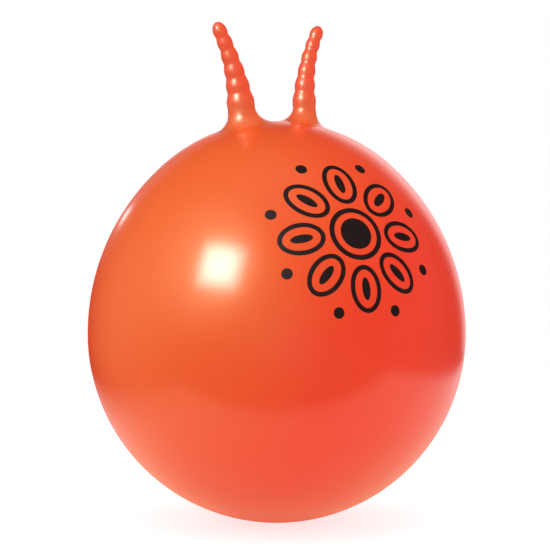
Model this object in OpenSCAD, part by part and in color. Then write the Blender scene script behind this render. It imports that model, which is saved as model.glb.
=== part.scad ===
// A hopper ball: a big inflated vinyl ball that a child sits on and bounces,
// held by two ribbed horns on its crown.
// The ball stands on its foot at z = 0 with its axis on Z. The printed front
// faces -Y, the valve is low on the back at +Y, and the horns stand left (-X)
// and right (+X) of the axis as seen from the front.

/* [Ball] */
// Diameter of the inflated ball at its widest line
ball_d = 600; // [540:5:680]
// How far the crown stands above the height that a plain round ball would have
crown_rise = 37; // [30:1:50]
// Angle from the axis out to where the tight crown curve meets the long shoulder curve
crown_half_angle = 41; // [36:0.5:44]
// Thickness of the vinyl skin
skin_t = 1; // [0.8:0.1:2]
// Radius of the flat patch that the ball rests on
foot_r = 35; // [25:1:45]

/* [Left horn] */
// Distance from the ball's axis out to the middle of the left horn's root
left_seat_x = 55.5; // [54:0.5:62]
// Height of the left horn's tip above the crown's surface
left_len = 165; // [130:0.5:190]
// Radius of the left horn in its lowest groove
left_root_r = 21.6; // [17:0.2:23]
// Radius of the left horn's rounded tip
left_tip_r = 11.4; // [8:0.1:14]
// Radius of the hollow curve that blends the left horn into the crown
left_flare_r = 31; // [14:0.5:32]
// Angle by which the left horn leaves its root inwards of square
left_set_in = 4.5; // [0:0.5:14]
// Angle through which the left horn curls outwards from its root to its tip
left_curl = 21; // [0:0.5:25]
// Distance by which the left horn stands outwards of the middle of its flared root
left_root_out = 2.5; // [0:0.5:4]

/* [Right horn] */
// Distance from the ball's axis out to the middle of the right horn's root
right_seat_x = 45; // [44:0.5:60]
// Height of the right horn's tip above the crown's surface
right_len = 158; // [130:0.5:190]
// Radius of the right horn in its lowest groove
right_root_r = 18.2; // [14:0.2:20]
// Radius of the right horn's rounded tip
right_tip_r = 10.6; // [7:0.1:13]
// Radius of the hollow curve that blends the right horn into the crown
right_flare_r = 31; // [14:0.5:33]
// Angle by which the right horn leaves its root inwards of square
right_set_in = 11.5; // [0:0.5:16]
// Angle through which the right horn curls outwards from its root to its tip
right_curl = 26; // [0:0.5:28]
// Distance by which the right horn stands outwards of the middle of its flared root
right_root_out = 3; // [0:0.5:4]

/* [Both horns] */
// Number of ribs between the flared root and the rounded tip
rib_count = 5; // [3:1:7]
// Height of a rib above the grooves beside it
rib_h = 1.9; // [0.5:0.1:3]
// Thickness of a horn's wall in its grooves
horn_t = 2.6; // [1.5:0.1:4]
// How much narrower the neck under the tip is than the tip
neck_cut = 1.3; // [0.5:0.1:3]

/* [Valve] */
// Angle of the valve below the ball's widest line
valve_below = 12; // [8:1:25]
// Radius of the hole that the pump's nozzle and the plug go into
bore_r = 4.5; // [3.5:0.1:6]
// Outside radius of the tube around the hole
seat_tube_r = 8.5; // [7:0.1:9.5]
// Length of the valve seat, from the ball's surface inwards
seat_len = 20; // [17:0.5:28]
// Radius of the collar that shows on the outside of the ball
seat_collar_r = 13; // [12:0.1:15]
// Height of the collar above the ball's surface
seat_proud = 0.6; // [0.2:0.1:1.2]
// Radius of the flange bonded to the inside of the skin
seat_flange_r = 20; // [17:0.5:26]
// Thickness of that flange
seat_flange_t = 2; // [1:0.1:3]
// Radius of the recess that the plug's head sits in
recess_r = 10; // [9.5:0.1:10.8]
// Depth of the recess below the ball's surface
recess_depth = 2; // [1.5:0.1:3]

/* [Plug] */
// Radius of the plug's stem between its barbs
stem_r = 3.8; // [2.8:0.1:4]
// Length of the plug's stem below its head
stem_len = 18; // [14:0.5:22]
// Number of barbs round the stem
barb_count = 3; // [2:1:3]
// Length of one barb along the stem
barb_len = 3; // [2:0.1:3.5]
// Distance from one barb to the next
barb_pitch = 4; // [3.5:0.1:4.2]
// Radius of the blind hole up the middle of the stem
core_r = 1.8; // [1:0.1:2]
// Thickness of the plug's head at its rim
head_t = 1.8; // [1.2:0.1:2.2]
// Height of the domed top of the head above its rim
head_dome = 1; // [0.4:0.1:1.5]

/* [Fits] */
// Gap between a horn's root edge and the edge of its opening in the skin
weld_gap = 0.05; // [0.02:0.01:0.1]
// Gap between the valve seat and the skin round it
bond_gap = 0.05; // [0.02:0.01:0.1]
// Gap between a barb and the hole it is pushed into
barb_gap = 0.08; // [0.05:0.01:0.1]
// Gap between the plug's head and the recess round it
head_gap = 0.35; // [0.2:0.05:0.5]
// Gap under the plug's head
head_rest_gap = 0.1; // [0.05:0.05:0.3]

/* [Hidden] */
$fn = 128;

// Sides of the ball's own circles, which are large beside what meets them
fine_sides = 720;

vinyl = [0.94, 0.36, 0.22];
plug_white = [0.93, 0.92, 0.88];

// Overrun of a cut past the surface that it opens
cut = 5;

// Height of the widest line: the round lower half loses the slice under its flat foot
ball_r = ball_d / 2;
mid_z = sqrt(pow(ball_r, 2) - pow(foot_r, 2));

// The side of the ball is three arcs that run smoothly into each other:
// the round lower half, a long shoulder, and a tight crown centred on the axis
crown_h = ball_r + crown_rise;
join_angle = 90 - crown_half_angle;
join_tan = tan(join_angle / 2);
crown_r = (ball_r - crown_h * join_tan) / (1 - join_tan);
shoulder_r = crown_r + (crown_h - crown_r) / sin(join_angle);
crown_z = mid_z + crown_h - crown_r;

// A horn as a list: seat distance, length, root radius, tip radius, flare radius, set-in, curl
// and how far it stands outwards of its root's middle
LEFT = [
    left_seat_x, left_len, left_root_r, left_tip_r, left_flare_r, left_set_in, left_curl,
    left_root_out,
];
RIGHT = [
    right_seat_x, right_len, right_root_r, right_tip_r, right_flare_r, right_set_in, right_curl,
    right_root_out,
];
function seat_x(h) = h[0];
function length_of(h) = h[1];
function root_r(h) = h[2];
function tip_r(h) = h[3];
function flare_r(h) = h[4];
function set_in(h) = h[5];
function curl_of(h) = h[6];
function root_out(h) = h[7];

// Points round a horn, along its flare, along one rib and over its tip
horn_sides = 32;
flare_steps = 6;
rib_steps = 5;
tip_steps = 6;
shaft_steps = 8;
// The tip is a dome this many times as tall as its radius
tip_height_share = 1.34;
// The topmost rib is this share of the lowest one's length
rib_shrink_share = 0.83;
// A horn thins faster near its root than near its tip
taper_power = 1.47;

// Heights along a horn are measured from the middle of the crown's curve
function flare_z(h) =
    sqrt(pow(crown_r + flare_r(h), 2) - pow(root_r(h) + flare_r(h), 2));
function seam_share(h) = crown_r / (crown_r + flare_r(h));
function seam_r(h) = (root_r(h) + flare_r(h)) * seam_share(h);
function seam_z(h) = flare_z(h) * seam_share(h);
function tip_z(h) = crown_r + length_of(h);
function dome_h(h) = tip_r(h) * tip_height_share;
function widest_z(h) = tip_z(h) - dome_h(h);
function neck_r(h) = tip_r(h) - neck_cut;
function neck_angle(h) = acos(neck_r(h) / tip_r(h));
function neck_z(h) = widest_z(h) - dome_h(h) * sin(neck_angle(h));
function mix(a, b, share) = a + (b - a) * share;

// Share of the way up the ribbed length at which groove i lies
function groove_share(i) =
    let (lost = (1 - rib_shrink_share) / (rib_count - 1))
    (i - lost * i * (i - 1) / 2) / (rib_count - lost * rib_count * (rib_count - 1) / 2);

// Radius of the horn along the bottoms of its grooves
function taper_r(h, share) =
    mix(neck_r(h), root_r(h), pow(max(0, 1 - share), taper_power));

// Outside of a horn as [radius, height] pairs, from the seam in the crown to the neck and over the tip
function flare_angle(h, share) =
    mix(180 + atan2(flare_z(h), root_r(h) + flare_r(h)), 180, share);
function horn_outside(h) = [
    for (i = [0 : flare_steps - 1])
        let (a = flare_angle(h, i / flare_steps))
        [root_r(h) + flare_r(h) * (1 + cos(a)), flare_z(h) + flare_r(h) * sin(a)],
    for (rib = [0 : rib_count - 1], i = [0 : rib_steps - 1])
        let (u = i / rib_steps,
             share = mix(groove_share(rib), groove_share(rib + 1), u))
        [taper_r(h, share) + rib_h * 4 * u * (1 - u),
         mix(flare_z(h), neck_z(h), share)],
    for (i = [0 : tip_steps - 1])
        let (a = mix(-neck_angle(h), 90, i / tip_steps))
        [tip_r(h) * cos(a), widest_z(h) + dome_h(h) * sin(a)],
];

// Inside of a horn in the same form: the skin's thickness at the seam, the horn's own above it
function horn_inside(h) =
    let (dome_r = neck_r(h) - horn_t,
         inner_dome_h = dome_h(h) - horn_t)
    [
        [seam_r(h), sqrt(pow(crown_r - skin_t, 2) - pow(seam_r(h), 2))],
        for (i = [1 : flare_steps - 1])
            let (a = flare_angle(h, i / flare_steps),
                 r = flare_r(h) + mix(skin_t, horn_t, i / flare_steps))
            [root_r(h) + flare_r(h) + r * cos(a), flare_z(h) + r * sin(a)],
        for (i = [0 : shaft_steps - 1])
            let (share = i / shaft_steps)
            [taper_r(h, share) - horn_t, mix(flare_z(h), widest_z(h), share)],
        for (i = [0 : tip_steps - 2])
            let (a = 90 * i / (tip_steps - 1))
            [dome_r * cos(a), widest_z(h) + inner_dome_h * sin(a)],
    ];

// Share of its way outwards that a horn has gone at a share of the height of its flare
function eased(share) = pow(share, 2) * (3 - 2 * share);

// A horn's centre line: square to the crown at the seam, set in over the flare,
// then curling outwards up to the tip. Gives [sideways shift, slope] at a height.
// The rings of the flare also slide outwards, without a tilt of their own.
function centre_line(h, z) =
    let (flare_h = flare_z(h) - seam_z(h),
         up = z - seam_z(h),
         over = up - flare_h,
         run = tip_z(h) - flare_z(h),
         lean = tan(set_in(h)),
         curl = tan(curl_of(h)) / run,
         slid = root_out(h) * eased(min(1, max(0, up / flare_h))))
    up <= 0 ? [0, 0]
    : over <= 0 ? [slid - lean * pow(up, 2) / (2 * flare_h), -lean * up / flare_h]
    : [slid - lean * (flare_h / 2 + over) + curl * pow(over, 2) / 2, -lean + curl * over];

function horn_point(h, p, angle) =
    let (line = centre_line(h, p[1]),
         tilt = atan(line[1]),
         out = p[0] * cos(angle))
    [line[0] + out * cos(tilt), p[0] * sin(angle), p[1] - out * sin(tilt)];

function side_angle(j) = 360 * j / horn_sides;

// Triangles between ring a and ring a + 1 of a stack of rings, wound to face outwards
function band(a) = [
    for (j = [0 : horn_sides - 1])
        let (k = (j + 1) % horn_sides,
             low = a * horn_sides,
             high = low + horn_sides)
        each [[low + j, high + k, low + k], [low + j, high + j, high + k]]
];

// Triangles that close the last ring at one point
function closed_end(a, pole) = [
    for (j = [0 : horn_sides - 1])
        [a * horn_sides + j, pole, a * horn_sides + (j + 1) % horn_sides]
];

// A horn on its own axis, its root edge lying in the crown's surface.
// The rings run from the inner tip down the bore, round the seam and up the outside.
module horn_body(h) {
    inside = horn_inside(h);
    outside = horn_outside(h);
    in_count = len(inside);
    rings = [
        for (i = [in_count - 1 : -1 : 0]) inside[i],
        for (p = outside) p,
    ];
    points = [
        for (p = rings, j = [0 : horn_sides - 1]) horn_point(h, p, side_angle(j)),
    ];
    inner_pole = horn_point(h, [0, tip_z(h) - horn_t], 0);
    outer_pole = horn_point(h, [0, tip_z(h)], 0);
    first = len(points);
    inner_cap = [
        for (t = closed_end(0, first)) [t[0], t[2], t[1]],
    ];
    polyhedron(
        points = concat(points, [inner_pole, outer_pole]),
        faces = concat(
            inner_cap,
            [for (a = [0 : len(rings) - 2]) each band(a)],
            closed_end(len(rings) - 1, first + 1)
        )
    );
}

// Carries its children from a horn's own axis to its place on the right of the crown
module on_crown(h) {
    translate([0, 0, crown_z])
        rotate([0, asin(seat_x(h) / crown_r), 0])
            children();
}

// The opening in the skin under a horn, with the same flat sides as the horn's root edge
module horn_opening(h) {
    open_r = seam_r(h) + weld_gap / cos(180 / horn_sides);
    on_crown(h)
        translate([0, 0, seam_z(h) - skin_t - cut])
            linear_extrude(height = skin_t + 2 * cut)
                polygon([for (j = [0 : horn_sides - 1])
                    open_r * [cos(side_angle(j)), sin(side_angle(j))]]);
}

// Carries its children from the valve's own axis, with the middle of the ball's
// round lower half at its origin, to the valve's place on the back
module on_back() {
    translate([0, 0, mid_z])
        rotate([-90 - valve_below, 0, 0])
            children();
}

// Part of a disc right of the axis, between two heights
module disc_slice(centre, r, low, high) {
    intersection() {
        translate(centre) circle(r, $fn = fine_sides);
        polygon([[0, low], [ball_r, low], [ball_r, high], [0, high]]);
    }
}

// Half of the ball's section, drawn in by an inset all round
module ball_section(inset) {
    join_z = mid_z + (shoulder_r - inset) * sin(join_angle);
    disc_slice([0, mid_z], ball_r - inset, inset, mid_z);
    disc_slice([ball_r - shoulder_r, mid_z], shoulder_r - inset, mid_z, join_z);
    disc_slice([0, crown_z], crown_r - inset, join_z, crown_z + crown_r);
}

// The inflated skin, open under both horns and round the valve
module ball_skin() {
    color(vinyl)
        difference() {
            rotate_extrude()
                difference() {
                    ball_section(0);
                    ball_section(skin_t);
                }
            horn_opening(RIGHT);
            mirror([1, 0, 0]) horn_opening(LEFT);
            on_back()
                translate([0, 0, ball_r - skin_t - cut])
                    cylinder(r = seat_collar_r + bond_gap, h = skin_t + 2 * cut);
        }
}

module left_horn() {
    color(vinyl) mirror([1, 0, 0]) on_crown(LEFT) horn_body(LEFT);
}

module right_horn() {
    color(vinyl) on_crown(RIGHT) horn_body(RIGHT);
}

// The moulded seat: a collar through the skin, a flange bonded inside it and a tube round the bore
module valve_seat() {
    flange_face_r = ball_r - skin_t - bond_gap;
    flange_low = flange_face_r - seat_flange_t - bond_gap;
    color(vinyl)
        on_back()
            rotate_extrude()
                difference() {
                    union() {
                        intersection() {
                            translate([0, flange_low])
                                square([seat_collar_r, ball_r + cut - flange_low]);
                            circle(ball_r + seat_proud, $fn = fine_sides);
                        }
                        intersection() {
                            translate([0, flange_low - seat_flange_t / 2])
                                square([seat_flange_r, seat_flange_t * 2]);
                            circle(flange_face_r, $fn = fine_sides);
                        }
                        translate([0, ball_r - seat_len])
                            square([seat_tube_r, seat_len - recess_depth]);
                    }
                    translate([0, ball_r - seat_len - cut])
                        square([bore_r, seat_len + 2 * cut]);
                    translate([0, ball_r - recess_depth])
                        square([recess_r, recess_depth + cut]);
                }
}

// One side of the stem: up from the nose, out over each barb and back to the stem
function barb_side(top) = [
    for (i = [barb_count - 1 : -1 : 0])
        let (low = top - stem_len + (barb_count - 1 - i) * barb_pitch)
        each [[stem_r, low], [bore_r - barb_gap, low + barb_len], [stem_r, low + barb_len]]
];

// The push-in plug: a domed head in the recess and a hollow barbed stem in the bore
module valve_plug() {
    under_head = ball_r - recess_depth + head_rest_gap;
    head_r = recess_r - head_gap;
    dome_r = (pow(head_r, 2) + pow(head_dome, 2)) / (2 * head_dome);
    color(plug_white)
        on_back()
            rotate_extrude()
                difference() {
                    union() {
                        polygon(concat(
                            [[0, under_head - stem_len]],
                            barb_side(under_head),
                            [[stem_r, under_head], [0, under_head]]
                        ));
                        translate([0, under_head]) square([head_r, head_t]);
                        intersection() {
                            translate([0, under_head + head_t]) square([head_r, head_dome]);
                            translate([0, under_head + head_t + head_dome - dome_r]) circle(dome_r);
                        }
                    }
                    translate([0, under_head - stem_len - cut])
                        square([core_r, stem_len + cut]);
                }
}

ball_skin();
left_horn();
right_horn();
valve_seat();
valve_plug();
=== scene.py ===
"""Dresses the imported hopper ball: inflated skin, grip horns, printed front, air valve and studio.

Lengths in the classes are in millimetres and angles in degrees, unless a comment says otherwise.
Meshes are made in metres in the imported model's frame: the ball stands on z = 0 with its axis on Z,
its printed front faces -Y and its valve is low on the back.
"""

from __future__ import annotations

import logging
import math
from collections.abc import Iterable, Sequence
from dataclasses import dataclass
from enum import Enum
from typing import Any, NamedTuple

import bpy
from bpy.types import Material, Node, NodeSocket, NodeTree, Object
from mathutils import Matrix, Vector

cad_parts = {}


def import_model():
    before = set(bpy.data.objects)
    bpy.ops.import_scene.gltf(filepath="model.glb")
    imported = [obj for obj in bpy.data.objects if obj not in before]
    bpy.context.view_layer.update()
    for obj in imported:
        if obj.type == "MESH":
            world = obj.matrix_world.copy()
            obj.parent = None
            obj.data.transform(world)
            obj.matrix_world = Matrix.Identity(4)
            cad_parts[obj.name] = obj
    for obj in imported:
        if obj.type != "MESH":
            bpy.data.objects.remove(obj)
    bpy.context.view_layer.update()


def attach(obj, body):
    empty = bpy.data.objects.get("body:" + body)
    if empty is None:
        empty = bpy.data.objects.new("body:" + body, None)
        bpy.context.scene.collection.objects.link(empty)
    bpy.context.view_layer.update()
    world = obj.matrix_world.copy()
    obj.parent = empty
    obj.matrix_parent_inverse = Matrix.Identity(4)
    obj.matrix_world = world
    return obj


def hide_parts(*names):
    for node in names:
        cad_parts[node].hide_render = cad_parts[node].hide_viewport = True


log = logging.getLogger("hopper_ball")

FULL_TURN = 2 * math.pi

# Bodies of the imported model
BALL_BODY = "ball"
PLUG_BODY = "plug"

# Distance under which two points of a mesh are one, in metres
WELD_REACH = 1e-6
# Angle from which an edge counts as sharp, and the steps in which one is rounded
SHARP_ANGLE = 30.0
BEVEL_STEPS = 3
# Range that nearly all values of a noise lie in, and the one of all shares
NOISE_RANGE = (0.25, 0.75)
UNIT_RANGE = (0.0, 1.0)
# Setting of a range that starts and ends gently
SOFT = {"interpolation_type": "SMOOTHSTEP"}

# Radius and height of each point of a section
Outline = list[tuple[float, float]]


def mm(length: float) -> float:
    """Return a length in millimetres in metres."""
    return length / 1000.0


def linear(hex_code: str) -> tuple[float, float, float, float]:
    """Turn an sRGB hex colour into linear red, green and blue, and an alpha of one."""
    values = [int(hex_code[i : i + 2], 16) / 255.0 for i in (1, 3, 5)]
    return (*(v / 12.92 if v <= 0.04045 else ((v + 0.055) / 1.055) ** 2.4 for v in values), 1.0)


def mix(low: float, high: float, share: float) -> float:
    """Return the value that lies a share of the way from low to high."""
    return low + (high - low) * share


def add_node(
    tree: NodeTree, kind: str, feeds: dict[str | int, Any] | None = None, **settings: Any
) -> Node:
    """Add a node, set its options, and fill or link its inputs.

    Args:
        tree: The node tree that gets the node.
        kind: The node's type name.
        feeds: Inputs by name or number, each with a value or the socket to link.
        **settings: Attributes of the node itself.

    Returns:
        The new node.
    """
    node = tree.nodes.new(kind)
    for name, value in settings.items():
        setattr(node, name, value)
    for key, value in (feeds or {}).items():
        socket = node.inputs[key]
        if isinstance(value, NodeSocket):
            tree.links.new(value, socket)
        else:
            socket.default_value = value
    return node


def compute(tree: NodeTree, step: str, *values: NodeSocket | float, **settings: Any) -> NodeSocket:
    """Return the outcome of one step of arithmetic on some numbers."""
    feeds = dict(enumerate(values))
    return add_node(tree, "ShaderNodeMath", feeds, operation=step, **settings).outputs[0]


def remap(
    tree: NodeTree, value: NodeSocket, source: Sequence[float], target: Sequence[float], **soft: str
) -> NodeSocket:
    """Return a value carried from one range over to another, and held at its ends."""
    feeds = dict(enumerate((value, *source, *target)))
    return add_node(tree, "ShaderNodeMapRange", feeds, **soft).outputs["Result"]


def along(tree: NodeTree, place: NodeSocket, direction: Sequence[float]) -> NodeSocket:
    """Return how far a place lies along a direction."""
    feeds = {0: place, 1: direction}
    return add_node(tree, "ShaderNodeVectorMath", feeds, operation="DOT_PRODUCT").outputs["Value"]


def noise(
    tree: NodeTree, place: NodeSocket, width: float, detail: float = 1.0, roughness: float = 0.5
) -> NodeSocket:
    """Return a cloudy noise whose patches have a width in millimetres."""
    feeds = {"Vector": place, "Scale": 1 / mm(width), "Detail": detail, "Roughness": roughness}
    return add_node(tree, "ShaderNodeTexNoise", feeds).outputs["Fac"]


def bump(tree: NodeTree, height: NodeSocket, depth: float, **feeds: NodeSocket) -> NodeSocket:
    """Return the normal of a surface raised by a pattern of a depth in millimetres."""
    feeds |= {"Height": height, "Distance": mm(depth)}
    return add_node(tree, "ShaderNodeBump", feeds).outputs["Normal"]


def blend(tree: NodeTree, share: NodeSocket, stops: Sequence[tuple[float, str]]) -> NodeSocket:
    """Blend colours along a ramp.

    Args:
        tree: The node tree that gets the ramp.
        share: The place along it, from 0 to 1.
        stops: Place and colour of each stop in order.

    Returns:
        The colour.
    """
    ramp = add_node(tree, "ShaderNodeValToRGB", {"Fac": share})
    elements = ramp.color_ramp.elements
    while len(elements) < len(stops):
        elements.new(1.0)
    for element, (position, colour) in zip(elements, stops):
        element.position = position
        element.color = linear(colour)
    return ramp.outputs["Color"]


def is_mirrored(tree: NodeTree, path: Node) -> NodeSocket:
    """Return one for a ray that mirrors or passes through something, and zero for any other."""
    rays = path.outputs["Is Glossy Ray"], path.outputs["Is Transmission Ray"]
    return compute(tree, "MAXIMUM", *rays)


def new_material(name: str) -> tuple[Material, NodeTree]:
    """Make an empty node material.

    Args:
        name: The real material and how it was made.

    Returns:
        The material and its node tree.
    """
    material = bpy.data.materials.new(name)
    material.use_nodes = True
    material.node_tree.nodes.clear()
    return material, material.node_tree


def deselect_all() -> None:
    """Leave nothing selected, so that the next operator acts on the new piece alone."""
    if bpy.context.mode != "OBJECT":
        bpy.ops.object.mode_set(mode="OBJECT")
    bpy.ops.object.select_all(action="DESELECT")


def pick(piece: Object) -> None:
    """Select one piece alone and make it the active one.

    Args:
        piece: The piece that the next operator acts on.
    """
    deselect_all()
    piece.select_set(True)
    bpy.context.view_layer.objects.active = piece


def edit_all() -> None:
    """Start to edit the active piece, with all of it selected."""
    bpy.ops.object.mode_set(mode="EDIT")
    bpy.ops.mesh.select_all(action="SELECT")


def settle(piece: Object) -> None:
    """Move a piece's place, turn and scale into its mesh, so that its object sits at the origin."""
    pick(piece)
    bpy.ops.object.transform_apply(location=True, rotation=True, scale=True)


def name_piece(piece: Object, name: str) -> Object:
    """Give a piece and its mesh the same name, and return the piece."""
    piece.name = piece.data.name = name
    return piece


def apply_modifier(piece: Object, kind: str, **settings: Any) -> None:
    """Add a modifier to a piece and apply it at once.

    Args:
        piece: The piece that is changed.
        kind: The modifier's type name.
        **settings: Attributes of the modifier.
    """
    pick(piece)
    modifier = piece.modifiers.new(kind.title(), kind)
    for name, value in settings.items():
        setattr(modifier, name, value)
    bpy.ops.object.modifier_apply(modifier=modifier.name)


def thicken(piece: Object, thickness: float, offset: float) -> None:
    """Give a sheet its thickness, inwards with an offset of -1 and outwards with 1."""
    apply_modifier(piece, "SOLIDIFY", thickness=mm(thickness), offset=offset)


def round_edges(piece: Object, width: float) -> None:
    """Round a piece's sharp edges."""
    limit = {"limit_method": "ANGLE", "angle_limit": math.radians(SHARP_ANGLE)}
    apply_modifier(piece, "BEVEL", width=mm(width), segments=BEVEL_STEPS, **limit)


def cut_round(piece: Object, radius: float, depth: float, sides: int, **stand: Any) -> None:
    """Take a cylinder out of a piece.

    Args:
        piece: The piece that is cut.
        radius: The cylinder's radius.
        depth: Its length.
        sides: How many faces it has round it.
        **stand: Its location in metres and its rotation in radians.
    """
    deselect_all()
    bpy.ops.mesh.primitive_cylinder_add(vertices=sides, radius=mm(radius), depth=mm(depth), **stand)
    cutter = bpy.context.object
    apply_modifier(piece, "BOOLEAN", operation="DIFFERENCE", object=cutter, solver="EXACT")
    bpy.data.objects.remove(cutter, do_unlink=True)


def close_up(piece: Object) -> None:
    """Merge a piece's doubled points and turn its faces outwards.

    Args:
        piece: The piece that is changed.
    """
    pick(piece)
    edit_all()
    bpy.ops.mesh.remove_doubles(threshold=WELD_REACH)
    bpy.ops.mesh.normals_make_consistent(inside=False)
    bpy.ops.object.mode_set(mode="OBJECT")


def smooth(piece: Object, crease: float = SHARP_ANGLE) -> None:
    """Shade a piece smooth, but for edges as sharp as an angle or sharper."""
    pick(piece)
    bpy.ops.object.shade_smooth_by_angle(angle=math.radians(crease))


def revolve(name: str, outline: Outline, sides: int) -> Object:
    """Draw an outline point by point and spin it round Z.

    Args:
        name: The piece's name.
        outline: A section that is closed, or open on the axis.
        sides: How many steps make the full turn.

    Returns:
        The turned piece, closed.
    """
    deselect_all()
    # A small sheet drawn together into its middle is the first point
    first = (mm(outline[0][0]), 0.0, mm(outline[0][1]))
    bpy.ops.mesh.primitive_plane_add(size=mm(1), location=first)
    piece = name_piece(bpy.context.object, name)
    settle(piece)
    edit_all()
    bpy.ops.mesh.merge(type="CENTER")
    for (r0, z0), (r1, z1) in zip(outline, outline[1:]):
        step = (mm(r1 - r0), 0.0, mm(z1 - z0))
        bpy.ops.mesh.extrude_region_move(TRANSFORM_OT_translate={"value": step})
    bpy.ops.mesh.select_all(action="SELECT")
    bpy.ops.mesh.spin(steps=sides, angle=FULL_TURN, center=(0, 0, 0), axis=(0, 0, 1))
    close_up(piece)
    return piece


class Ring(NamedTuple):
    """One ring of a horn: its middle and radius in metres, and its turn about +Y in radians."""

    middle: Vector
    radius: float
    tilt: float


def loft(name: str, rings: list[Ring], sides: int) -> Object:
    """Raise a tube ring by ring, and draw its last ring together to a point.

    Args:
        name: The piece's name.
        rings: The rings from the open root up to the tip, which is a point.
        sides: How many points each ring has.

    Returns:
        The tube, open at its root and closed at its tip.
    """
    deselect_all()
    last, *others, tip = rings
    bpy.ops.mesh.primitive_circle_add(
        vertices=sides, radius=last.radius, location=last.middle, rotation=(0, last.tilt, 0)
    )
    piece = name_piece(bpy.context.object, name)
    settle(piece)
    edit_all()
    for ring in others:
        move = {"value": ring.middle - last.middle}
        bpy.ops.mesh.extrude_region_move(TRANSFORM_OT_translate=move)
        # With no window, this operator turns the other way
        turn = last.tilt - ring.tilt
        bpy.ops.transform.rotate(value=turn, orient_axis="Y", center_override=ring.middle)
        grow = ring.radius / last.radius
        bpy.ops.transform.resize(value=(grow, grow, grow), center_override=ring.middle)
        last = ring
    move = {"value": tip.middle - last.middle}
    bpy.ops.mesh.extrude_region_move(TRANSFORM_OT_translate=move)
    bpy.ops.mesh.merge(type="CENTER")
    close_up(piece)
    return piece


def add_piece(
    piece: Object, finish: Material, body: str, stands_for: str | None = None
) -> None:
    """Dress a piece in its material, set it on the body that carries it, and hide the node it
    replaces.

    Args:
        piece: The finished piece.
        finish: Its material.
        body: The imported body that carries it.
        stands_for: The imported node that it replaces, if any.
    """
    piece.data.materials.clear()
    piece.data.materials.append(finish)
    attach(piece, body)
    if stands_for is not None:
        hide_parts(stands_for)
    log.info("%s: %d faces, on %s", piece.name, len(piece.data.polygons), body)


@dataclass(frozen=True)
class Finish:
    """A material with one shader, whose inputs each kind of finish works out for itself."""

    name: str

    def feeds(self, tree: NodeTree, place: NodeSocket) -> dict[str, Any]:
        """Return the shader's inputs at a place on the piece."""
        raise NotImplementedError

    def material(self) -> Material:
        """Build the finish's node material.

        Returns:
            The material.
        """
        material, tree = new_material(self.name)
        place = add_node(tree, "ShaderNodeTexCoord").outputs["Object"]
        shader = add_node(tree, "ShaderNodeBsdfPrincipled", self.feeds(tree, place))
        add_node(tree, "ShaderNodeOutputMaterial", {"Surface": shader.outputs["BSDF"]})
        return material


@dataclass(frozen=True)
class VinylFinish(Finish):
    """Slush-moulded PVC, blown up tight: a hard clear gloss over a soft satin glow.

    The mould leaves a mirror-like skin. The vinyl under it is a little cloudy, so a lamp shows
    twice: as a sharp spot, and as a wide soft bloom.
    """

    name: str = "slush_moulded_pvc_orange"
    # Painted light, as set here: paler orange on the key lamp's side, deeper red away from it
    pale_colour: str = "#EC611C"
    deep_colour: str = "#E92912"
    # Direction towards the paler side, and distances from the foot over which the colour pales
    pale_side: tuple[float, float, float] = (-0.834, 0.191, 0.517)
    deep_reach: float = 41.07
    pale_reach: float = 534.07
    # Width of a patch of uneven skin, and how far it shifts the colour
    patch: float = 150.0
    patch_share: float = 0.07
    # The satin glow under the gloss
    satin: float = 0.45
    satin_spread: float = 0.03
    satin_level: float = 0.56
    satin_tint: str = "#BEDC90"
    # The gloss of the mould's surface
    gloss_weight: float = 1.0
    gloss_roughness: float = 0.195
    gloss_ior: float = 1.5
    # Light that creeps through the cloudy vinyl and warms its rim
    rim: float = 0.65
    rim_roughness: float = 0.4
    rim_tint: str = "#FF3A0A"
    # Orange peel, drawn a little coarse so that it shows
    peel: float = 3.0
    peel_depth: float = 0.004
    # Slow dents where the air pulls the skin unevenly
    dent: float = 60.0
    dent_depth: float = 0.08

    def feeds(self, tree: NodeTree, place: NodeSocket) -> dict[str, Any]:
        """Work out the vinyl's colour, paler towards one side, its satin and its relief.

        Args:
            tree: The material's node tree.
            place: The place on the piece.

        Returns:
            The shader's inputs.
        """
        patches = noise(tree, place, self.patch, detail=2.0, roughness=0.45)
        # Paler towards one side; with the defaults this is painted light from the key lamp's side
        reach = (mm(self.deep_reach), mm(self.pale_reach))
        paling = remap(tree, along(tree, place, self.pale_side), reach, UNIT_RANGE, **SOFT)
        uneven = remap(tree, patches, NOISE_RANGE, (-self.patch_share, self.patch_share))
        paleness = compute(tree, "ADD", paling, uneven, use_clamp=True)
        satins = (self.satin - self.satin_spread, self.satin + self.satin_spread)
        dents = bump(tree, noise(tree, place, self.dent), self.dent_depth)
        relief = bump(tree, noise(tree, place, self.peel), self.peel_depth, Normal=dents)
        return {
            "Base Color": blend(tree, paleness, ((0.0, self.deep_colour), (1.0, self.pale_colour))),
            "Roughness": remap(tree, patches, UNIT_RANGE, satins),
            "Specular IOR Level": self.satin_level,
            "Specular Tint": linear(self.satin_tint),
            "Sheen Weight": self.rim,
            "Sheen Roughness": self.rim_roughness,
            "Sheen Tint": linear(self.rim_tint),
            "Coat Weight": self.gloss_weight,
            "Coat Roughness": self.gloss_roughness,
            "Coat IOR": self.gloss_ior,
            "Normal": relief,
            "Coat Normal": relief,
        }


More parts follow.
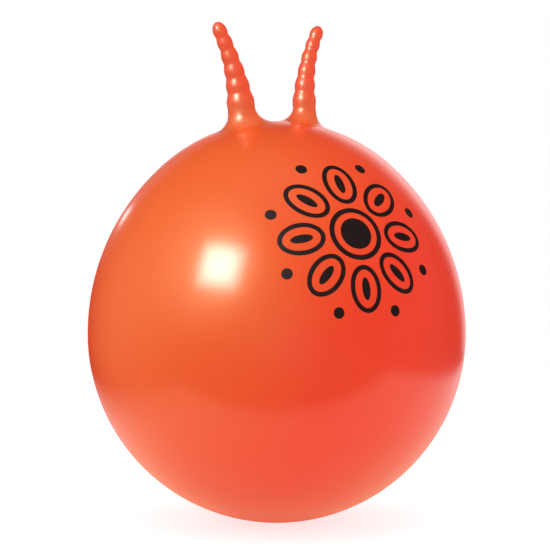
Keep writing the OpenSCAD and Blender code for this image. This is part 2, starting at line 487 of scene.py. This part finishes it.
@dataclass(frozen=True)
class PatchyFinish(Finish):
    """A plain material with soft patches of a second shade, and a fine grain if it has one."""

    base: str
    marked: str
    # Width of one patch, and the noise at which the second shade starts and is full
    patch: float
    shades_at: tuple[float, float]
    roughness: float
    ior: float = 1.5
    gloss_weight: float = 0.0
    gloss_roughness: float = 0.0
    grain: float | None = None
    grain_depth: float = 0.01

    def feeds(self, tree: NodeTree, place: NodeSocket) -> dict[str, Any]:
        """Work out the patches and the grain.

        Args:
            tree: The material's node tree.
            place: The place on the piece.

        Returns:
            The shader's inputs.
        """
        stops = tuple(zip(self.shades_at, (self.base, self.marked)))
        inputs = {
            "Base Color": blend(tree, noise(tree, place, self.patch, detail=3.0), stops),
            "Roughness": self.roughness,
            "IOR": self.ior,
            "Coat Weight": self.gloss_weight,
            "Coat Roughness": self.gloss_roughness,
        }
        if self.grain is not None:
            inputs["Normal"] = bump(tree, noise(tree, place, self.grain), self.grain_depth)
        return inputs


# Vinyl ink: near-black brown, thin and a little less glossy than the skin
INK = PatchyFinish(
    "screen_printed_vinyl_ink", "#210F0D", "#33201B", patch=12.0, shades_at=(0.55, 0.85),
    roughness=0.42, gloss_weight=0.35, gloss_roughness=0.16,
)
# Injection-moulded polyethylene: ivory white and waxy, with handling marks and the mould's grain
IVORY = PatchyFinish(
    "moulded_polyethylene_ivory", "#DEDACC", "#CBC3AE", patch=6.0, shades_at=(0.5, 0.9),
    roughness=0.38, ior=1.51, grain=0.3,
)


@dataclass
class InflatedBall:
    """The blown-up skin: a round lower half, a long shoulder and a tight crown under the horns."""

    ball_r: float = 300.0
    crown_rise: float = 37.0
    crown_half_angle: float = 41.0
    foot_r: float = 35.0
    skin_t: float = 1.0
    # Steps along each arc of the outline, and round it
    lower_steps: int = 42
    shoulder_steps: int = 32
    crown_steps: int = 16
    sides: int = 192
    # How far the skin reaches in under a horn's root
    lap: float = 8.0
    # Length of the cutter that opens the skin, and its faces
    cut_depth: float = 30.0
    cut_sides: int = 96

    @property
    def mid_z(self) -> float:
        """Height of the widest line."""
        return math.sqrt(self.ball_r**2 - self.foot_r**2)

    @property
    def middle(self) -> Vector:
        """Middle of the round lower half, in metres."""
        return Vector((0.0, 0.0, mm(self.mid_z)))

    @property
    def crown_h(self) -> float:
        """Height of the crown's top above the widest line."""
        return self.ball_r + self.crown_rise

    @property
    def join_angle(self) -> float:
        """Angle of the line where shoulder and crown meet, in radians above level."""
        return math.radians(90 - self.crown_half_angle)

    @property
    def crown_r(self) -> float:
        """Radius of the crown's curve."""
        join_tan = math.tan(self.join_angle / 2)
        return (self.ball_r - self.crown_h * join_tan) / (1 - join_tan)

    @property
    def shoulder_r(self) -> float:
        """Radius of the shoulder's curve."""
        return self.crown_r + (self.crown_h - self.crown_r) / math.sin(self.join_angle)

    @property
    def crown_z(self) -> float:
        """Height of the middle of the crown's curve."""
        return self.mid_z + self.crown_h - self.crown_r

    def outline(self) -> Outline:
        """Trace the outside from the middle of the foot up to the top of the crown.

        Returns:
            The open section.
        """
        low, join, top = -math.asin(self.mid_z / self.ball_r), self.join_angle, math.pi / 2
        offset = self.ball_r - self.shoulder_r
        arcs = (
            (0.0, self.mid_z, self.ball_r, low, 0.0, self.lower_steps),
            (offset, self.mid_z, self.shoulder_r, 0.0, join, self.shoulder_steps),
            (0.0, self.crown_z, self.crown_r, join, top, self.crown_steps),
        )
        points = [(0.0, 0.0), (self.foot_r / 2, 0.0)]
        for centre_r, centre_z, radius, start, end, steps in arcs:
            for i in range(steps):
                angle = mix(start, end, i / steps)
                r, z = radius * math.cos(angle), radius * math.sin(angle)
                points.append((centre_r + r, centre_z + z))
        points.append((0.0, self.crown_z + self.crown_r))
        return points

    def reach(self, rise: float) -> float:
        """Find the distance from the ball's middle to its surface in one direction.

        Args:
            rise: Sine of the direction's angle above level.

        Returns:
            The distance.
        """
        if rise <= 0:
            return self.ball_r
        offset = self.ball_r - self.shoulder_r
        level = math.sqrt(1 - rise**2) * offset
        shoulder = level + math.sqrt(level**2 + self.shoulder_r**2 - offset**2)
        if shoulder * rise <= self.shoulder_r * math.sin(self.join_angle):
            return shoulder
        over = self.crown_z - self.mid_z
        return rise * over + math.sqrt((rise * over) ** 2 + self.crown_r**2 - over**2)

    def build(self, finish: Material, horns: Iterable[GripHorn], valve: AirValve) -> None:
        """Model the skin, give it its wall, and open it for the horns and the valve.

        Args:
            finish: The vinyl.
            horns: The horns whose bores run into the ball.
            valve: The valve whose collar goes through the skin.
        """
        skin = revolve("vinyl_skin", self.outline(), self.sides)
        thicken(skin, self.skin_t, -1.0)
        holes = [(horn.place, horn.axis, horn.seam_r - self.lap) for horn in horns]
        holes.append((valve.place, valve.axis, valve.collar_r + valve.bond_gap))
        for place, axis, radius in holes:
            turn = axis.to_track_quat("Z", "Y").to_euler()
            cut_round(skin, radius, self.cut_depth, self.cut_sides, location=place, rotation=turn)
        smooth(skin)
        add_piece(skin, finish, BALL_BODY, "ball_skin")


@dataclass
class Fitting:
    """A part of the ball that is shaped to its skin."""

    ball: InflatedBall
    finish: Material


class Side(Enum):
    """The side of the crown that a horn stands on, as seen from the printed front."""

    LEFT = -1
    RIGHT = 1


@dataclass
class GripHorn(Fitting):
    """One hollow ribbed horn, flared into the crown and curled outwards."""

    side: Side
    # Distance of its seat from the ball's axis, and its height from the crown to its tip
    seat_x: float
    length: float
    root_r: float
    tip_r: float
    # Lean inwards at the root, bend outwards to the tip, and shift outwards of the root
    set_in: float
    curl: float
    root_out: float
    flare_r: float = 31.0
    rib_count: int = 5
    rib_h: float = 1.9
    wall: float = 2.6
    neck_cut: float = 1.3
    tip_height_share: float = 1.34
    rib_shrink_share: float = 0.83
    taper_power: float = 1.47
    # How far the root's edge lies above the skin
    lap_lift: float = 0.03
    # Share of a rib's swell that is a plain arc, and the rest fades into the grooves
    arc_share: float = 0.5
    # Angle from which an edge stays sharp
    crease: float = 45.0
    sides: int = 64
    # Shares of the flare at which its rings lie, close together at the seam
    flare_shares: tuple[float, ...] = (
        0.0, 0.01, 0.03, 0.06, 0.1, 0.16, 0.23, 0.3, 0.38, 0.46, 0.54, 0.62, 0.7, 0.78, 0.86, 0.93,
    )
    rib_steps: int = 10
    tip_steps: int = 14

    @property
    def flare_z(self) -> float:
        """Height of the flare's top above the middle of the crown's curve."""
        reach, out = self.ball.crown_r + self.flare_r, self.root_r + self.flare_r
        return math.sqrt(reach**2 - out**2)

    @property
    def seam_share(self) -> float:
        """Share of the way to the flare's middle at which the crown's curve lies."""
        return self.ball.crown_r / (self.ball.crown_r + self.flare_r)

    @property
    def seam_r(self) -> float:
        """Radius of the edge along which the horn is fused to the skin."""
        return (self.root_r + self.flare_r) * self.seam_share

    @property
    def seat_angle(self) -> float:
        """Lean of the horn's seat away from the ball's axis, in radians."""
        return math.asin(self.seat_x / self.ball.crown_r)

    @property
    def axis(self) -> Vector:
        """Direction in which the horn's root stands."""
        lean = self.seat_angle
        return Vector((self.side.value * math.sin(lean), 0.0, math.cos(lean)))

    @property
    def place(self) -> Vector:
        """Point of the crown under the horn, in metres."""
        return Vector((0, 0, mm(self.ball.crown_z))) + self.axis * mm(self.ball.crown_r)

    def groove_share(self, number: int) -> float:
        """Find where a groove lies, as each rib is shorter than the one below by one step.

        Args:
            number: The groove's number, from 0 at the root.

        Returns:
            The share of the ribbed length.
        """
        count = self.rib_count
        lost = (1 - self.rib_shrink_share) / (count - 1)
        whole = count - lost * count * (count - 1) / 2
        return (number - lost * number * (number - 1) / 2) / whole

    def swell(self, share: float) -> float:
        """Return how far a rib stands out at a share of its length."""
        arc, soft = 4 * share * (1 - share), math.sin(math.pi * share) ** 2
        return self.rib_h * mix(soft, arc, self.arc_share)

    def outline(self) -> Outline:
        """Trace the horn as if it stood straight, from its seam over flare, ribs, neck and tip.

        Returns:
            Radius and height of each ring, with heights from the middle of the crown's curve.
        """
        flare_z, flare_r = self.flare_z, self.flare_r
        tip_z = self.ball.crown_r + self.length
        dome_h = self.tip_r * self.tip_height_share
        widest_z = tip_z - dome_h
        neck_r = self.tip_r - self.neck_cut
        neck_angle = math.acos(neck_r / self.tip_r)
        neck_z = widest_z - dome_h * math.sin(neck_angle)
        points = []
        start = math.pi + math.atan2(flare_z, self.root_r + flare_r)
        for share in self.flare_shares:
            angle = mix(start, math.pi, share)
            radius = self.root_r + flare_r * (1 + math.cos(angle))
            points.append((radius, flare_z + flare_r * math.sin(angle)))
        for rib in range(self.rib_count):
            low, high = self.groove_share(rib), self.groove_share(rib + 1)
            for i in range(self.rib_steps):
                share = mix(low, high, i / self.rib_steps)
                taper = mix(neck_r, self.root_r, (1 - share) ** self.taper_power)
                radius = taper + self.swell(i / self.rib_steps)
                points.append((radius, mix(flare_z, neck_z, share)))
        for i in range(self.tip_steps):
            angle = mix(-neck_angle, math.pi / 2, i / self.tip_steps)
            points.append((self.tip_r * math.cos(angle), widest_z + dome_h * math.sin(angle)))
        points.append((0.0, tip_z))
        return points

    def centre_line(self, height: float) -> tuple[float, float]:
        """Follow the curved line on which the horn's rings are threaded.

        Args:
            height: Height of a ring above the middle of the crown's curve.

        Returns:
            How far outwards the ring's middle lies, and the line's slope there.
        """
        seam_z = self.flare_z * self.seam_share
        flare_h = self.flare_z - seam_z
        up = height - seam_z
        if up <= 0:
            return 0.0, 0.0
        over = up - flare_h
        lean = math.tan(math.radians(self.set_in))
        run = self.ball.crown_r + self.length - self.flare_z
        curl = math.tan(math.radians(self.curl)) / run
        risen = min(1.0, up / flare_h)
        slid = self.root_out * risen**2 * (3 - 2 * risen)
        if over <= 0:
            return slid - lean * up**2 / (2 * flare_h), -lean * up / flare_h
        return slid - lean * (flare_h / 2 + over) + curl * over**2 / 2, -lean + curl * over

    def rings(self) -> list[Ring]:
        """Lay the horn's rings in their places on the crown.

        Returns:
            The rings from the seam to the tip.
        """
        turn = Matrix.Rotation(self.seat_angle, 3, "Y")
        rings = []
        for radius, height in self.outline():
            shift, slope = self.centre_line(height)
            middle = turn @ Vector((shift, 0.0, height + self.lap_lift))
            middle = Vector((self.side.value * middle.x, 0.0, middle.z + self.ball.crown_z))
            tilt = self.side.value * (self.seat_angle + math.atan(slope))
            rings.append(Ring(middle * mm(1), mm(radius), tilt))
        return rings

    def build(self) -> None:
        """Model the horn and give it its wall."""
        side = self.side.name.lower()
        horn = loft(f"{side}_grip_horn", self.rings(), self.sides)
        thicken(horn, self.wall, -1.0)
        smooth(horn, self.crease)
        add_piece(horn, self.finish, BALL_BODY, f"{side}_horn")


@dataclass
class AirValve(Fitting):
    """The moulded seat on the back and the push-in plug that closes it."""

    plug_finish: Material
    # Angle of its axis below the ball's widest line
    below: float = 12.0
    bore_r: float = 4.5
    tube_r: float = 8.5
    seat_len: float = 20.0
    collar_r: float = 13.0
    proud: float = 0.6
    flange_r: float = 20.0
    flange_t: float = 2.0
    recess_r: float = 10.0
    recess_depth: float = 2.0
    bond_gap: float = 0.05
    collar_rounding: float = 0.3
    stem_r: float = 3.8
    stem_len: float = 18.0
    barb_count: int = 3
    barb_len: float = 3.0
    barb_pitch: float = 4.0
    barb_gap: float = 0.08
    core_r: float = 1.8
    head_t: float = 1.8
    head_dome: float = 1.0
    head_gap: float = 0.35
    head_rest_gap: float = 0.1
    plug_rounding: float = 0.25
    # The dimple that the moulding gate leaves in the head
    gate_r: float = 2.6
    gate_depth: float = 0.35
    # The notch in the head's rim for a fingernail
    notch_r: float = 1.5
    notch_out: float = 0.5
    notch_len: float = 9.0
    notch_sides: int = 32
    sides: int = 72
    arc_steps: int = 6

    @property
    def head_r(self) -> float:
        """Radius of the plug's head."""
        return self.recess_r - self.head_gap

    @property
    def under_head(self) -> float:
        """Distance of the head's underside from the ball's middle."""
        return self.ball.ball_r - self.recess_depth + self.head_rest_gap

    @property
    def turn(self) -> float:
        """Turn about X that carries +Z to the valve's axis, in radians."""
        return -math.radians(90 + self.below)

    @property
    def axis(self) -> Vector:
        """Direction in which the plug is pulled out."""
        return Vector((0.0, -math.sin(self.turn), math.cos(self.turn)))

    @property
    def place(self) -> Vector:
        """Point of the ball's surface on the valve's axis, in metres."""
        return self.ball.middle + self.axis * mm(self.ball.ball_r)

    def steps(self, start: float, end: float) -> list[float]:
        """Return the values of an arc's points, in even steps from start to end."""
        return [mix(start, end, i / self.arc_steps) for i in range(self.arc_steps + 1)]

    def arc(self, radius: float, start: float, end: float) -> Outline:
        """Return a curve round the ball's middle, between two distances from the axis."""
        return [(r, math.sqrt(radius**2 - r**2)) for r in self.steps(start, end)]

    def collar_outline(self) -> Outline:
        """Trace the seat: tube, flange under the skin, collar, recess and bore.

        Returns:
            The closed section.
        """
        ball_r = self.ball.ball_r
        under_skin = ball_r - self.ball.skin_t - self.bond_gap
        flange_z = under_skin - self.flange_t
        bottom = ball_r - self.seat_len
        floor = ball_r - self.recess_depth
        return [
            (self.bore_r, bottom), (self.tube_r, bottom), (self.tube_r, flange_z),
            (self.flange_r, flange_z - self.flange_t / 2),
            *self.arc(under_skin, self.flange_r, self.collar_r),
            *self.arc(ball_r + self.proud, self.collar_r, self.recess_r),
            (self.recess_r, floor), (self.bore_r, floor), (self.bore_r, bottom),
        ]

    def plug_outline(self) -> Outline:
        """Trace the plug from its core's end, down round the stem and over the head.

        Returns:
            The section, open on the axis.
        """
        under = self.under_head
        nose, rim = under - self.stem_len, under + self.head_t
        dome_r = (self.head_r**2 + self.head_dome**2) / (2 * self.head_dome)
        barbs = []
        for i in range(self.barb_count):
            low = nose + i * self.barb_pitch
            high = low + self.barb_len
            barbs += [(self.stem_r, low), (self.bore_r - self.barb_gap, high), (self.stem_r, high)]
        dome = [
            (r, rim + self.head_dome - dome_r + math.sqrt(dome_r**2 - r**2))
            for r in self.steps(self.head_r, self.gate_r)
        ]
        gate_z = dome[-1][1] - self.gate_depth
        return [
            (0.0, under), (self.core_r, under), (self.core_r, nose),
            *barbs,
            (self.stem_r, under), (self.head_r, under),
            *dome,
            (self.gate_r - self.gate_depth, gate_z), (0.0, gate_z),
        ]

    def set_in(self, piece: Object) -> None:
        """Carry a piece modelled on Z to the valve's place on the back, and shade it smooth.

        Args:
            piece: The piece, with the ball's middle at its origin.
        """
        piece.rotation_euler = (self.turn, 0.0, 0.0)
        piece.location = self.ball.middle
        settle(piece)
        smooth(piece)

    def build(self) -> None:
        """Model the seat, then the plug with its barbed stem, domed head and nail notch."""
        collar = revolve("valve_collar", self.collar_outline(), self.sides)
        round_edges(collar, self.collar_rounding)
        self.set_in(collar)
        add_piece(collar, self.finish, BALL_BODY, "valve_seat")

        plug = revolve("air_plug", self.plug_outline(), self.sides)
        round_edges(plug, self.plug_rounding)
        rim = (mm(self.head_r + self.notch_out), 0.0, mm(self.under_head + self.head_t))
        stand = {"location": rim, "rotation": (math.pi / 2, 0.0, 0.0)}
        cut_round(plug, self.notch_r, self.notch_len, self.notch_sides, **stand)
        self.set_in(plug)
        add_piece(plug, self.plug_finish, PLUG_BODY, "valve_plug")


@dataclass(frozen=True)
class Mark:
    """A flat ellipse of the print, filled in rings or drawn as a line of even width."""

    half_x: float
    half_y: float
    # Points along its edge, rings to its middle if it is filled, and its line if not
    points: int
    rings: int = 1
    line: float | None = None

    def draw(self, out: float = 0.0, bearing: float = 0.0) -> Object:
        """Draw the ellipse flat, with its length pointing away from the flower's middle.

        Args:
            out: Distance from the flower's middle.
            bearing: Angle round the flower, in radians from straight up.

        Returns:
            The flat shape.
        """
        deselect_all()
        bpy.ops.mesh.primitive_circle_add(vertices=self.points, radius=1.0)
        shape = bpy.context.object
        edit_all()
        bpy.ops.transform.resize(value=(mm(self.half_x), mm(self.half_y), 1.0))
        for ring in range(self.rings, 1, -1):
            share = (ring - 1) / ring
            bpy.ops.mesh.extrude_region_move()
            bpy.ops.transform.resize(value=(share, share, 1.0))
        bpy.ops.mesh.extrude_region_move()
        if self.line is None:
            bpy.ops.mesh.merge(type="CENTER")
        else:
            shrink = [(half - self.line) / half for half in (self.half_x, self.half_y)]
            bpy.ops.transform.resize(value=(*shrink, 1.0))
        shape.location = (-mm(out) * math.sin(bearing), mm(out) * math.cos(bearing), 0.0)
        shape.rotation_euler = (0.0, 0.0, bearing)
        settle(shape)
        return shape


@dataclass
class FrontPrint(Fitting):
    """A plain flower in one dark ink: an eye, a ring, eight petals and a dot between each two."""

    # Angle of its middle above the ball's widest line
    rise: float = 33.0
    eye: Mark = Mark(26.0, 26.0, 48, rings=6)
    ring: Mark = Mark(44.0, 44.0, 72, line=8.0)
    petals: int = 8
    # A petal, the vein in it, and how far both lie from the flower's middle
    petal: Mark = Mark(27.0, 38.0, 64, line=7.5)
    vein: Mark = Mark(7.0, 18.0, 40, rings=4)
    petal_out: float = 90.0
    dot: Mark = Mark(9.0, 9.0, 28, rings=3)
    dot_out: float = 135.0
    # Distance of the print from the ball's middle, for drawing it true to size
    reach: float = 320.0
    # The ink lies just over the skin, and is drawn thick enough to show
    lift: float = 0.02
    ink: float = 0.18

    def draw(self) -> Object:
        """Draw all of the flower flat, join it into one piece and turn it face up.

        Returns:
            The flat drawing.
        """
        shapes = [self.eye.draw(), self.ring.draw()]
        for number in range(self.petals):
            bearing = FULL_TURN * number / self.petals
            shapes.append(self.petal.draw(self.petal_out, bearing))
            shapes.append(self.vein.draw(self.petal_out, bearing))
            shapes.append(self.dot.draw(self.dot_out, bearing + math.pi / self.petals))
        drawing = shapes[0]
        pick(drawing)
        for shape in shapes:
            shape.select_set(True)
        bpy.ops.object.join()
        edit_all()
        bpy.ops.mesh.flip_normals()
        bpy.ops.object.mode_set(mode="OBJECT")
        return name_piece(drawing, "front_print")

    def wrap(self, drawing: Object) -> None:
        """Lay the flat drawing on the ball's front, true to size and bearing.

        Args:
            drawing: The flat drawing, which is changed.
        """
        stand = Matrix.Rotation(math.radians(90 - self.rise), 3, "X")
        for point in drawing.data.vertices:
            flat = stand @ point.co
            turn = flat.length / mm(self.reach)
            towards = stand.col[2] * math.cos(turn)
            if flat.length > WELD_REACH:
                towards += flat.normalized() * math.sin(turn)
            out = self.ball.reach(towards.z) + self.lift
            point.co = self.ball.middle + towards * mm(out)

    def build(self) -> None:
        """Draw the flower, lay it on the ball and give the ink its thickness."""
        drawing = self.draw()
        self.wrap(drawing)
        thicken(drawing, self.ink, 1.0)
        smooth(drawing)
        add_piece(drawing, self.finish, BALL_BODY)


@dataclass(frozen=True)
class View:
    """The photograph's viewpoint: its bearing and height round the ball, its distance and lens."""

    bearing: float = -27.0
    elevation: float = 5.0
    distance: float = 3200.0
    lens: float = 131.4
    sensor: float = 36.0
    # How far the picture's middle lies above and left of the ball's
    aim_up: float = 92.7
    aim_left: float = 2.7

    @property
    def bearing_turn(self) -> Matrix:
        """Turn that carries the front of the ball, -Y, round to face the camera."""
        return Matrix.Rotation(math.radians(self.bearing), 3, "Z")

    def place(self, right: float, up: float, back: float) -> Vector:
        """Return a vector given by its parts to the right, up and back to the camera."""
        tilt = Matrix.Rotation(math.radians(90 - self.elevation), 3, "X")
        return self.bearing_turn @ tilt @ Vector((right, up, back))

    def level(self, right: float, ahead: float) -> Vector:
        """Return a level vector given by its parts to the right and ahead to the camera."""
        return self.bearing_turn @ Vector((right, -ahead, 0.0))


class LampRole(Enum):
    """What a lamp does: it lights the surfaces unseen, or shows only as a mirrored highlight."""

    FILL = "fill"
    GLINT = "glint"


@dataclass(frozen=True)
class SoftBox:
    """A flat studio lamp, square to the ball."""

    name: str
    # Shares to the right, up, and back towards the camera
    towards: tuple[float, float, float]
    # Brightness of its face, where 1 is a white card in full light
    brightness: float
    distance: float = 2600.0
    width: float = 1800.0
    height: float = 1800.0
    role: LampRole = LampRole.FILL
    colour: str = "#FFFFFF"

    def build(self, view: View, middle: Vector) -> None:
        """Hang the lamp.

        Args:
            view: The viewpoint that its place is given from.
            middle: The point that it faces, in metres.
        """
        lamp = bpy.data.lights.new(self.name, "AREA")
        lamp.shape = "RECTANGLE"
        lamp.size = mm(self.width)
        lamp.size_y = mm(self.height)
        # A lamp's face is as bright as its power shared over its area and a half-round of pi
        lamp.energy = self.brightness * math.pi * lamp.size * lamp.size_y
        lamp.color = linear(self.colour)[:3]
        stand = bpy.data.objects.new(self.name, lamp)
        direction = view.place(*self.towards).normalized()
        stand.location = middle + direction * mm(self.distance)
        stand.rotation_euler = direction.to_track_quat("Z", "Y").to_euler()
        stand.visible_camera = False
        stand.visible_diffuse = self.role is LampRole.FILL
        stand.visible_glossy = self.role is LampRole.GLINT
        bpy.context.scene.collection.objects.link(stand)
        log.info("lamp %s", self.name)


@dataclass(frozen=True)
class LightPatch:
    """A soft round patch of light in the dim room, as the ball mirrors it."""

    # Shares to the right, up, and back towards the camera
    towards: tuple[float, float, float]
    # Angles from its middle between which it fades out
    full: float
    end: float
    brightness: float

    @property
    def reach(self) -> list[float]:
        """Cosines of those angles, the greater angle first."""
        return [math.cos(math.radians(angle)) for angle in (self.end, self.full)]

    def light(self, tree: NodeTree, ray: NodeSocket, view: View) -> NodeSocket:
        """Return its brightness in a ray's direction."""
        cosine = along(tree, ray, view.place(*self.towards).normalized())
        return remap(tree, cosine, self.reach, (0.0, self.brightness), **SOFT)


@dataclass(frozen=True)
class FloorFade:
    """A side on which the floor fades to dark, as the ball mirrors it."""

    # Shares to the right and ahead towards the camera
    right: float
    ahead: float
    # Distances from the foot between which the floor fades out
    full: float
    end: float

    def share_left(self, tree: NodeTree, place: NodeSocket, view: View) -> NodeSocket:
        """Return the share of the floor's light that is left at a place."""
        out = along(tree, place, view.level(self.right, self.ahead))
        return remap(tree, out, (mm(self.full), mm(self.end)), (1.0, 0.0), **SOFT)


@dataclass
class Studio:
    """A white floor, a plain room, the lamps and the camera, round a middle in metres."""

    middle: Vector
    view: View = View()
    # How far the floor reaches to the camera, away from it and to each side
    floor_ahead: float = 1200.0
    floor_behind: float = 2200.0
    floor_half_width: float = 1200.0
    floor_white: str = "#BCBCBC"
    # Light that the floor gives off, and how much more of it the camera sees
    floor_light: float = 0.5
    floor_glow: float = 0.2
    # What the ball mirrors of the floor from the foot out: painted shadow, painted bounce light,
    # white
    floor_mirrored: tuple[tuple[float, str], ...] = (
        (0.0, "#AC4634"), (45.0, "#E08A6A"), (120.0, "#FBC8A0"), (250.0, "#FFE2C0"),
        (500.0, "#FFEBDA"), (800.0, "#FFF2E8"), (1100.0, "#FFFFFF"),
    )
    # Where that fades out: to the left, to the right and to the camera
    floor_fades: tuple[FloorFade, ...] = (
        FloorFade(-1.0, 0.0, 350.0, 900.0),
        FloorFade(1.0, 0.0, 850.0, 1150.0),
        FloorFade(0.0, 1.0, 430.0, 600.0),
    )
    # Brightness of the room as it lights the ball and as the ball mirrors it, and patches in that
    room_light: float = 0.9
    room_mirrored: float = 0.02
    patches: tuple[LightPatch, ...] = (
        LightPatch((0.174, 0.174, -0.97), 5.0, 26.0, 1.1),
        LightPatch((-0.3, 0.36, -0.883), 4.0, 18.0, 0.25),
        LightPatch((-0.72, 0.52, 0.46), 4.0, 40.0, 0.6),
        LightPatch((0.33, 0.43, -0.84), 4.0, 16.0, 0.5),
    )
    lamps: tuple[SoftBox, ...] = (
        SoftBox("key_wash", (-0.478, 0.459, 0.749), 0.1, width=1500, height=1500),
        SoftBox("fill_left", (-0.97, 0.05, 0.0), 0.8),
        SoftBox("fill_right", (0.97, -0.1, 0.2), 0.55),
        SoftBox("rim_left", (-0.88, 0.2, -0.43), 1.5),
        SoftBox("rim_right", (0.9, 0.2, -0.39), 1.0),
        SoftBox("fill_top", (0.0, 0.95, 0.3), 1.8),
        SoftBox("fill_front", (0.1, -0.1, 0.99), 1.2, distance=3400),
        SoftBox("glint_left", (-0.49, 0.33, -0.807), 8.0, 2600, 150, 150, LampRole.GLINT),
        SoftBox("key_core", (-0.5, 0.486, 0.717), 13.2, 2190, 620, 520, LampRole.GLINT, "#FFFDF6"),
        SoftBox("key_rim", (-0.5, 0.486, 0.717), 13.2, 2200, 910, 766, LampRole.GLINT, "#FFFDF6"),
    )

    def build_camera(self) -> None:
        """Set up the camera at the photograph's viewpoint."""
        view = self.view
        data = bpy.data.cameras.new("photo_view")
        data.lens = view.lens
        data.sensor_width = view.sensor
        camera = bpy.data.objects.new("photo_view", data)
        camera.location = self.middle + view.place(0.0, 0.0, mm(view.distance))
        aim = self.middle + view.place(-mm(view.aim_left), mm(view.aim_up), 0.0)
        camera.rotation_euler = (camera.location - aim).to_track_quat("Z", "Y").to_euler()
        bpy.context.scene.collection.objects.link(camera)
        bpy.context.scene.camera = camera

    def floor_finish(self) -> Material:
        """Build the floor's paper: white with a shadow as seen; as mirrored, tinted with painted
        shade.

        Returns:
            The material.
        """
        material, tree = new_material("matt_white_paper")
        path = add_node(tree, "ShaderNodeLightPath")
        place = add_node(tree, "ShaderNodeTexCoord").outputs["Object"]
        paper = add_node(tree, "ShaderNodeBsdfDiffuse", {"Color": linear(self.floor_white)})
        is_seen = path.outputs["Is Camera Ray"]
        strength = compute(tree, "MULTIPLY_ADD", is_seen, self.floor_glow, self.floor_light)
        glow = add_node(tree, "ShaderNodeEmission", {"Strength": strength})
        faces = {0: paper.outputs["BSDF"], 1: glow.outputs["Emission"]}
        lit = add_node(tree, "ShaderNodeAddShader", faces).outputs["Shader"]
        # As mirrored the paper glows, with a painted shadow and painted orange bounce light by the
        # foot
        out = add_node(tree, "ShaderNodeVectorMath", {0: place}, operation="LENGTH")
        furthest = self.floor_mirrored[-1][0]
        share = compute(tree, "DIVIDE", out.outputs["Value"], mm(furthest), use_clamp=True)
        stops = [(distance / furthest, shade) for distance, shade in self.floor_mirrored]
        left = 1.0
        for fade in self.floor_fades:
            left = compute(tree, "MULTIPLY", left, fade.share_left(tree, place, self.view))
        feeds = {"Color": blend(tree, share, stops), "Strength": left}
        image = add_node(tree, "ShaderNodeEmission", feeds)
        faces = {0: is_mirrored(tree, path), 1: lit, 2: image.outputs["Emission"]}
        face = add_node(tree, "ShaderNodeMixShader", faces)
        add_node(tree, "ShaderNodeOutputMaterial", {"Surface": face.outputs["Shader"]})
        return material

    def build_floor(self) -> None:
        """Lay the matt white floor, which keeps the ball's shadow."""
        deselect_all()
        bpy.ops.mesh.primitive_plane_add(size=1.0)
        floor = name_piece(bpy.context.object, "white_floor")
        length = mm(self.floor_ahead + self.floor_behind)
        floor.scale = (mm(2 * self.floor_half_width), length, 1.0)
        floor.rotation_euler = (0.0, 0.0, math.radians(self.view.bearing))
        floor.location = self.view.level(0.0, mm(self.floor_ahead - self.floor_behind) / 2)
        settle(floor)
        floor.data.materials.append(self.floor_finish())

    def build_room(self) -> None:
        """Give the room its white backdrop, its plain light and what is mirrored of it."""
        world = bpy.data.worlds.new("plain_studio")
        bpy.context.scene.world = world
        world.use_nodes = True
        tree = world.node_tree
        tree.nodes.clear()
        path = add_node(tree, "ShaderNodeLightPath")
        # A world ray's direction comes as its texture place
        ray = add_node(tree, "ShaderNodeTexCoord").outputs["Generated"]
        shown = self.room_mirrored
        for patch in self.patches:
            shown = compute(tree, "ADD", shown, patch.light(tree, ray, self.view))
        feeds = {0: is_mirrored(tree, path), 2: self.room_light, 3: shown}
        room = add_node(tree, "ShaderNodeMix", feeds).outputs[0]
        feeds = {0: path.outputs["Is Camera Ray"], 2: room, 3: 1.0}
        strength = add_node(tree, "ShaderNodeMix", feeds).outputs[0]
        feeds = {"Color": linear("#FFFFFF"), "Strength": strength}
        glow = add_node(tree, "ShaderNodeBackground", feeds)
        add_node(tree, "ShaderNodeOutputWorld", {"Surface": glow.outputs["Background"]})

    def build(self) -> None:
        """Set up camera, floor, room and lamps."""
        self.build_camera()
        self.build_floor()
        self.build_room()
        for lamp in self.lamps:
            lamp.build(self.view, self.middle)
        bpy.context.scene.view_settings.view_transform = "Standard"


def main() -> None:
    """Load the frame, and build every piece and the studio."""
    logging.basicConfig(level=logging.INFO, format="%(name)s: %(message)s")
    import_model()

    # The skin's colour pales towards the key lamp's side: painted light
    vinyl = VinylFinish().material()
    # The horns' vinyl is thick all over, and a little paler down at the root
    horn_vinyl = VinylFinish(
        name="slush_moulded_pvc_orange_thick", pale_colour="#EE5518", deep_colour="#F23A10",
        pale_side=(0.0, 0.0, -1.0), deep_reach=-698.0, pale_reach=-630.0,
        rim=0.0, satin=0.5, satin_level=1.0, gloss_roughness=0.3, gloss_ior=1.65,
        patch=40.0, dent=18.0, dent_depth=0.04,
    ).material()
    # The valve's colour pales towards the same side as the skin's: painted light
    valve_vinyl = VinylFinish(
        name="moulded_soft_pvc_orange", pale_colour="#E8552F", deep_colour="#E04A2C", patch=8.0,
        satin=0.5, gloss_weight=0.3, gloss_roughness=0.2, dent=5.0, dent_depth=0.01,
    ).material()

    ball = InflatedBall()
    horns = (
        GripHorn(
            ball, horn_vinyl, Side.LEFT, seat_x=55.5, length=165.0, root_r=21.6, tip_r=11.4,
            set_in=4.5, curl=21.0, root_out=2.5,
        ),
        GripHorn(
            ball, horn_vinyl, Side.RIGHT, seat_x=45.0, length=158.0, root_r=18.2, tip_r=10.6,
            set_in=11.5, curl=26.0, root_out=3.0,
        ),
    )
    valve = AirValve(ball, valve_vinyl, IVORY.material())
    ball.build(vinyl, horns, valve)
    for part in (*horns, FrontPrint(ball, INK.material()), valve):
        part.build()
    Studio(ball.middle).build()


if __name__ == "__main__":
    main()
